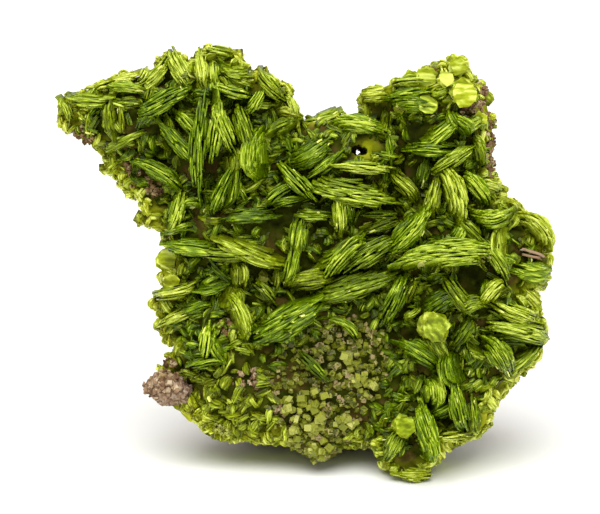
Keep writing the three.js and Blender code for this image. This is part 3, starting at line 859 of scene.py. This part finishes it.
class Look:
    """A material that is built up node by node."""

    def __init__(self, name, roughness, specular):
        self.material = bpy.data.materials.new(name)
        self.material.use_nodes = True
        self.nodes = self.material.node_tree.nodes
        self.links = self.material.node_tree.links
        self.shader = self.nodes["Principled BSDF"]
        self.shader.inputs["Roughness"].default_value = roughness
        self.shader.inputs["Specular IOR Level"].default_value = specular

    def attribute(self, name, output="Fac"):
        node = self.nodes.new("ShaderNodeAttribute")
        node.attribute_name = name
        return node.outputs[output]

    def place(self):
        return self.nodes.new("ShaderNodeTexCoord").outputs["Object"]

    def noise(self, vector, scale, detail):
        node = self.nodes.new("ShaderNodeTexNoise")
        node.inputs["Scale"].default_value = scale
        node.inputs["Detail"].default_value = detail
        self.links.new(vector, node.inputs["Vector"])
        return node.outputs["Fac"]

    def ramp(self, value, stops):
        """Colours along a scale; each stop is its position and its red, green and blue."""
        node = self.nodes.new("ShaderNodeValToRGB")
        elements = node.color_ramp.elements
        while len(elements) < len(stops):
            elements.new(0.5)
        for element, (position, colour) in zip(elements, stops):
            element.position = position
            element.color = (*colour, 1)
        self.links.new(value, node.inputs["Fac"])
        return node.outputs["Color"]

    def multiply_add(self, value, factor, addend):
        node = self.nodes.new("ShaderNodeMath")
        node.operation = "MULTIPLY_ADD"
        self.links.new(value, node.inputs[0])
        node.inputs[1].default_value = factor
        self.feed(node.inputs[2], addend)
        return node.outputs["Value"]

    def mix(self, share, first, second):
        node = self.nodes.new("ShaderNodeMix")
        node.data_type = "RGBA"
        self.feed(node.inputs["Factor"], share)
        self.feed(node.inputs["A"], first)
        self.feed(node.inputs["B"], second)
        return node.outputs["Result"]

    def feed(self, socket, value):
        """Gives a socket another node's output, or a number or colour of its own."""
        if isinstance(value, bpy.types.NodeSocket):
            self.links.new(value, socket)
        else:
            socket.default_value = value

    def colour(self, value):
        self.links.new(value, self.shader.inputs["Base Color"])

    def bump(self, height, strength, depth):
        node = self.nodes.new("ShaderNodeBump")
        node.inputs["Strength"].default_value = strength
        node.inputs["Distance"].default_value = depth * MM
        self.links.new(height, node.inputs["Height"])
        self.links.new(node.outputs["Normal"], self.shader.inputs["Normal"])

    def translucent(self, weight, colours, depth):
        self.shader.inputs["IOR"].default_value = CRYSTAL_IOR
        self.shader.inputs["Subsurface Weight"].default_value = weight
        self.shader.inputs["Subsurface Radius"].default_value = colours
        self.shader.inputs["Subsurface Scale"].default_value = depth * MM


def green_material():
    """Striated green plates: light crests and dark roots, which are painted shade, yellow that is
    partly each book's own hue and partly a painted glow of light through the thin crystals at the
    rim, and a few painted glints.
    """
    look = Look("green_crystal", roughness=0.3, specular=0.15)
    stretch = look.nodes.new("ShaderNodeMapping")
    stretch.inputs["Scale"].default_value = STREAK_SCALE
    look.links.new(look.attribute("grain", "Vector"), stretch.inputs["Vector"])
    streak = look.noise(stretch.outputs["Vector"], 1, 3)
    lighter = look.multiply_add(streak, 1.5, -0.72)
    toned = look.multiply_add(look.attribute("tone"), 0.6, lighter)
    # The height attribute is painted shade: darker towards the plates' roots and the books' lower
    # sides and ends.
    tone_and_painted_light = look.multiply_add(look.attribute("height"), 0.46, toned)
    green = look.ramp(tone_and_painted_light, [
        (0.0, (0.006, 0.011, 0.0001)),
        (0.35, (0.031, 0.054, 0.0001)),
        (0.65, (0.092, 0.160, 0.0002)),
        (0.85, (0.21, 0.325, 0.002)),
        (1.0, (0.50, 0.62, 0.05)),
    ])
    yellow = look.ramp(tone_and_painted_light, [
        (0.0, (0.022, 0.020, 0.001)),
        (0.3, (0.11, 0.10, 0.004)),
        (0.6, (0.29, 0.31, 0.006)),
        (0.8, (0.52, 0.57, 0.02)),
        (1.0, (0.88, 0.92, 0.22)),
    ])
    look.colour(look.mix(look.attribute("warm"), green, yellow))
    look.bump(streak, 0.8, 0.09)
    look.translucent(0.2, (0.5, 0.55, 0.05), 0.5)
    return look.material


def rock_material():
    """Weathered granite: grains of several browns with rusty stains."""
    look = Look("granite", roughness=0.8, specular=0.5)
    place = look.place()
    cells = look.nodes.new("ShaderNodeTexVoronoi")
    cells.inputs["Scale"].default_value = 4200
    look.links.new(place, cells.inputs["Vector"])
    split = look.nodes.new("ShaderNodeSeparateColor")
    look.links.new(cells.outputs["Color"], split.inputs["Color"])
    grains = look.ramp(split.outputs["Red"], [
        (0.0, (0.07, 0.035, 0.018)),
        (0.35, (0.23, 0.13, 0.075)),
        (0.6, (0.34, 0.22, 0.14)),
        (1.0, (0.46, 0.38, 0.29)),
    ])
    stain = look.ramp(look.noise(place, 260, 5), [(0.45, (0, 0, 0)), (0.7, (1, 1, 1))])
    look.colour(look.mix(stain, grains, (0.22, 0.13, 0.03, 1)))
    look.bump(cells.outputs["Distance"], 0.6, 0.2)
    return look.material


def bed_material():
    """The dark bed between the druse's grains."""
    look = Look("druse_bed", roughness=0.8, specular=0.1)
    look.colour(look.ramp(look.noise(look.place(), 700, 5), [
        (0.3, (0.012, 0.016, 0.001)),
        (0.48, (0.07, 0.08, 0.005)),
        (0.6, (0.14, 0.10, 0.02)),
        (0.75, (0.26, 0.24, 0.07)),
    ]))
    return look.material


def grit_material():
    """Loose grains of the rock, from rusty brown to rose."""
    look = Look("granite_grit", roughness=0.7, specular=0.2)
    tone = look.attribute("tone")
    brown = look.ramp(tone, [
        (0.0, (0.045, 0.018, 0.008)),
        (0.4, (0.16, 0.085, 0.022)),
        (0.8, (0.30, 0.20, 0.07)),
        (1.0, (0.45, 0.37, 0.20)),
    ])
    rose = look.ramp(tone, [
        (0.0, (0.13, 0.065, 0.035)),
        (0.5, (0.32, 0.20, 0.115)),
        (1.0, (0.54, 0.44, 0.30)),
    ])
    look.colour(look.mix(look.attribute("warm"), brown, rose))
    return look.material


def crust_material():
    """The crust under the books: near black between them, which is painted shade, with brown
    patches of its own, and a painted glow, bright yellow-green, at the rim.
    """
    look = Look("green_crust", roughness=0.85, specular=0.03)
    patch = look.noise(look.place(), 420, 6)
    crust_and_painted_shade = look.ramp(patch, [
        (0.35, (0.018, 0.022, 0.002)),
        (0.5, (0.045, 0.056, 0.003)),
        (0.6, (0.075, 0.048, 0.012)),
        (0.75, (0.12, 0.14, 0.008)),
    ])
    outer = look.ramp(patch, [
        (0.3, (0.05, 0.05, 0.003)),
        (0.5, (0.36, 0.39, 0.008)),
        (0.7, (0.68, 0.72, 0.05)),
    ])
    look.colour(look.mix(look.attribute("rim"), crust_and_painted_shade, outer))
    look.bump(patch, 0.7, 0.2)
    return look.material


def druse_material():
    """Grains from dark green over pale yellow-green to pinkish brown."""
    look = Look("pale_druse", roughness=0.35, specular=0.2)
    look.colour(look.ramp(look.attribute("tone"), [
        (0.0, (0.035, 0.043, 0.002)),
        (0.35, (0.12, 0.135, 0.006)),
        (0.7, (0.27, 0.29, 0.025)),
        (0.85, (0.45, 0.46, 0.10)),
        (1.0, (0.31, 0.21, 0.11)),
    ]))
    look.translucent(0.3, (0.6, 0.6, 0.15), 0.6)
    return look.material


def joined_lumps(name, lumps):
    """A mesh of lumps that overlap, in the row frame."""
    body = bmesh.new()
    for x, out, z, rx, r_out, rz in lumps:
        first = len(body.verts)
        bmesh.ops.create_icosphere(body, subdivisions=4, radius=1)
        body.verts.ensure_lookup_table()
        for v in body.verts[first:]:
            d = v.co / block_norm(*v.co)
            v.co = Vector((x + d.x * rx, out + d.y * r_out, z + d.z * rz))
    mesh = bpy.data.meshes.new(name)
    body.to_mesh(mesh)
    body.free()
    points = np.empty(len(mesh.vertices) * 3)
    mesh.vertices.foreach_get("co", points)
    mesh.vertices.foreach_set("co", to_row(points.reshape(-1, 3)).ravel())
    mesh.flip_normals()
    return mesh


def apply_modifiers(piece):
    """Replaces the piece's mesh with what its modifiers make of it."""
    graph = bpy.context.evaluated_depsgraph_get()
    made = bpy.data.meshes.new_from_object(piece.evaluated_get(graph))
    piece.modifiers.clear()
    old, piece.data = piece.data, made
    bpy.data.meshes.remove(old)


def remeshed(name, mesh, voxel):
    """A piece with the mesh's shape, in small even faces."""
    piece = bpy.data.objects.new(name, mesh)
    bpy.context.scene.collection.objects.link(piece)
    modifier = piece.modifiers.new("remesh", "REMESH")
    modifier.mode = "VOXEL"
    modifier.voxel_size = voxel * MM
    modifier.use_smooth_shade = True
    apply_modifiers(piece)
    return piece


def cut_peephole(piece):
    """Cuts the small hole through the saddle between the two horns."""
    x, z, radius = PEEPHOLE
    bpy.ops.mesh.primitive_cylinder_add(vertices=14, radius=radius * MM, depth=0.04)
    rod = bpy.context.object
    rod.location = to_row(np.array([[x, -3.0, z]]))[0]
    rod.rotation_euler = (math.pi / 2 - FACE_LEAN, 0, 0)
    rod.scale = (1.0, 0.6, 1.0)
    modifier = piece.modifiers.new("peephole", "BOOLEAN")
    modifier.object = rod
    modifier.operation = "DIFFERENCE"
    apply_modifiers(piece)
    bpy.data.objects.remove(rod)


def mesh_points(piece):
    """The points of a piece and their normals, in the row frame."""
    count = len(piece.data.vertices)
    points, normals = np.empty(count * 3), np.empty(count * 3)
    piece.data.vertices.foreach_get("co", points)
    piece.data.vertex_normals.foreach_get("vector", normals)
    return points.reshape(-1, 3), normals.reshape(-1, 3)


def roughened(piece, roughness, frequency):
    """The piece's points, moved in and out by a fine noise."""
    points, normals = mesh_points(piece)
    rough = np.array([noise.fractal(p, 0.9, 2.1, 4) for p in points * (frequency / MM)])
    return points + normals * rough[:, None] * roughness * MM


def broken_steps(piece, points):
    """Shallow flat steps, as on a broken face of the rock, added to its points."""
    normals = mesh_points(piece)[1]
    swell = np.array([noise.fractal(p, 0.9, 2.0, 3) for p in points * (BREAK_FREQUENCY / MM)])
    steps = np.minimum(np.round(swell * BREAK_STEPS) / BREAK_STEPS, BREAK_PROUD)
    return points + normals * steps[:, None] * BREAK_DEPTH * MM


def set_points(piece, points):
    """Moves the piece's points, none of them below the floor."""
    points[:, 2] = np.maximum(points[:, 2], 0)
    piece.data.vertices.foreach_set("co", points.ravel())
    piece.data.update()


def front_surface(crust):
    """Points and normals of the crust's front and rim, in the face frame."""
    points, normals = mesh_points(crust)
    points, normals = from_row(points), face_directions(normals)
    shown = (normals[:, 1] > -0.35) & (points[:, 1] > -7.5)
    return points[shown], normals[shown]


def seen_surfaces(*pieces):
    """The pieces' points in the face frame, and where each one appears."""
    points = np.concatenate([from_row(mesh_points(piece)[0]) for piece in pieces])
    return points, as_seen(points)[0]


def front_of(surfaces, x, z, rng):
    """A point near x, z as seen, on the foremost of the surfaces' points there."""
    points, seen = surfaces
    gap = np.hypot(seen[:, 0] - x, seen[:, 1] - z)
    close = np.flatnonzero(gap < 0.45)
    if not len(close):
        return None
    foremost = close[points[close, 1].argmax()]
    return points[foremost] + rng.normal(0, 0.05, 3)


def druse_grains(shells, surfaces, rng):
    """The druse's small blocky crystals, in knots and between them."""
    for _ in range(DRUSE_GRAINS):
        cx, _, cz, rx, _, rz = DRUSE_BED[rng.integers(len(DRUSE_BED))]
        angle, reach = rng.uniform(0, 2 * math.pi), 1.05 * math.sqrt(rng.random())
        place = front_of(surfaces, cx + rx * reach * math.cos(angle),
                         cz + rz * reach * math.sin(angle), rng)
        if place is not None:
            pinkish = rng.random() < PINKISH_SHARE
            tone = rng.uniform(0.9, 1.0) if pinkish else rng.uniform(0.0, 0.68)
            grain(shells, rng, place, rng.uniform(0.15, 0.55), tone)
    for x, z, radius in DRUSE_KNOTS:
        for _ in range(round(KNOT_CUBES * min(1, radius))):
            spread = rng.normal(0, 0.5 * radius, 2)
            place = front_of(surfaces, x + spread[0], z + spread[1], rng)
            if place is not None:
                place[1] += rng.uniform(0.0, 0.5)
                grain(shells, rng, place, rng.uniform(0.3, 0.8), rng.uniform(0.5, 0.86))
    for x, z, rx, rz, lift in FROST_SPOTS:
        for _ in range(FROST_GRAINS):
            angle, reach = rng.uniform(0, 2 * math.pi), math.sqrt(rng.random())
            spot_x, spot_z = x + rx * reach * math.cos(angle), z + rz * reach * math.sin(angle)
            place = np.array([spot_x, crust_out(x, z) + lift * (1 - 0.25 * reach), spot_z])
            grain(shells, rng, place, rng.uniform(0.1, 0.28), rng.uniform(0.3, 0.85))


def grit(shells, surfaces, rng):
    """Loose rock grains where the matrix shows, and one long splinter."""
    for x, z, rx, rz, pink in GRIT_SPOTS:
        for _ in range(round(GRIT_GRAINS * min(1.0, rx * rz))):
            angle, reach = rng.uniform(0, 2 * math.pi), math.sqrt(rng.random())
            place = front_of(surfaces, x + rx * reach * math.cos(angle),
                             z + rz * reach * math.sin(angle), rng)
            if place is not None:
                grain(shells, rng, place, rng.uniform(0.12, 0.45), rng.random(), pink)
    splinter = large_book(SPLINTER, rng)
    splinter.lean = splinter.twist = 0
    splinter.warm, splinter.tone = 1.0, 0.5
    splinter.build(shells)


rng = np.random.default_rng(SEED)
green = green_material()
regions = {
    "books_upper_left": ARM_BOOKS + LEFT_HORN_BOOKS,
    "books_middle": MIDDLE_BOOKS + LOWER_LEFT_BOOKS,
    "books_right": RIGHT_BOOKS + LOWER_RIGHT_BOOKS + RIGHT_HORN_BOOKS,
}
for name, rows in regions.items():
    shells = Shells()
    for row in rows:
        large_book(row, rng).build(shells)
    if name == "books_right":
        for row in FACING_PLATES + FLAKES:
            facing_plate(shells, row, rng)
    piece = shells.build(name, green)
    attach(piece, "root")
    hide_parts("crystals")

crust = remeshed("crust", joined_lumps("crust", CRUST_FACE + CRUST_RIM + FLAKY_RIM), CRUST_VOXEL)
cut_peephole(crust)
crust_points = kept_inside(from_row(roughened(crust, 0.5, 1.1)), CRUST_INSET, CRUST_PUSH)
# The rim attribute carries the crust's painted glow near the rim and in the glow spots.
rim = crust.data.attributes.new("rim", "FLOAT", "POINT")
rim.data.foreach_set("value", painted_glow_share(crust_points))
set_points(crust, to_row(crust_points))
crust.data.materials.append(crust_material())
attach(crust, "root")
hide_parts("crystals")

surface = front_surface(crust)
for side in ("a", "b", "c", "d"):
    small = Shells()
    small_crystals(small, surface, rng, SMALL_CLUSTERS // 4)
    small_books = small.build("books_small_" + side, green)
    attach(small_books, "root")
    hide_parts("crystals")

rock = remeshed("rock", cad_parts["matrix"].data.copy(), ROCK_VOXEL)
rock_points = from_row(broken_steps(rock, roughened(rock, 0.4, 1.3)))
upper = rock_points[:, 2] > BARE_ROCK_TOP
rock_points[upper] = kept_inside(rock_points[upper], ROCK_INSET, ROCK_PUSH)
set_points(rock, to_row(rock_points))
rock.data.materials.clear()
rock.data.materials.append(rock_material())
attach(rock, "root")
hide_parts("matrix")

bed = remeshed("druse_bed", joined_lumps("druse_bed", [
    (x, out - BED_SINK, z, BED_SHARE * rx, r_out, BED_SHARE * rz)
    for x, out, z, rx, r_out, rz in DRUSE_BED
]), CRUST_VOXEL)
set_points(bed, roughened(bed, 0.5, 1.4))
bed.data.materials.append(bed_material())
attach(bed, "root")
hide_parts("druse")

grains = Shells()
druse_grains(grains, seen_surfaces(bed, crust), rng)
druse = grains.build("druse_grains", druse_material())
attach(druse, "root")
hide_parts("druse")

grains = Shells()
grit(grains, seen_surfaces(rock, crust), rng)
grit_piece = grains.build("rock_grit", grit_material())
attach(grit_piece, "root")
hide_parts("matrix")

# Floor, light and camera
scene = bpy.context.scene
bpy.ops.mesh.primitive_plane_add(size=FLOOR_SIZE, location=(0, 0, -FLOOR_SINK))
floor = bpy.context.object
floor.name = "floor"
floor_look = Look("pale_floor", roughness=0.6, specular=0.5)
floor_look.shader.inputs["Base Color"].default_value = (0.9, 0.9, 0.9, 1)
floor.data.materials.append(floor_look.material)

world = bpy.data.worlds.new("studio")
scene.world = world
world.use_nodes = True
world.node_tree.nodes["Background"].inputs["Color"].default_value = (1, 0.98, 0.91, 1)
world.node_tree.nodes["Background"].inputs["Strength"].default_value = 0.56


def soft_sun(name, towards, power, spread):
    """A distant soft light that shines from the direction given."""
    data = bpy.data.lights.new(name, "SUN")
    data.energy = power
    data.angle = math.radians(spread)
    lamp = bpy.data.objects.new(name, data)
    lamp.rotation_euler = Vector(towards).to_track_quat("Z", "Y").to_euler()
    scene.collection.objects.link(lamp)


soft_sun("key", (-0.08, -0.34, 0.92), 3.45, 60)
soft_sun("side", (0.65, -0.35, 0.60), 0.4, 50)

aim = Vector(to_row(np.array([VIEW_CENTRE]))[0])
back = Vector((0, -math.cos(FACE_LEAN), math.sin(FACE_LEAN)))
camera_data = bpy.data.cameras.new("camera")
camera_data.lens = LENS
camera_data.sensor_width = SENSOR
camera_data.clip_start = 0.01
camera_data.clip_end = 10
camera = bpy.data.objects.new("camera", camera_data)
camera.location = aim + back * VIEW_DISTANCE
camera.rotation_euler = (-back).to_track_quat("-Z", "Y").to_euler()
scene.collection.objects.link(camera)
scene.camera = camera
scene.view_settings.view_transform = "Standard"
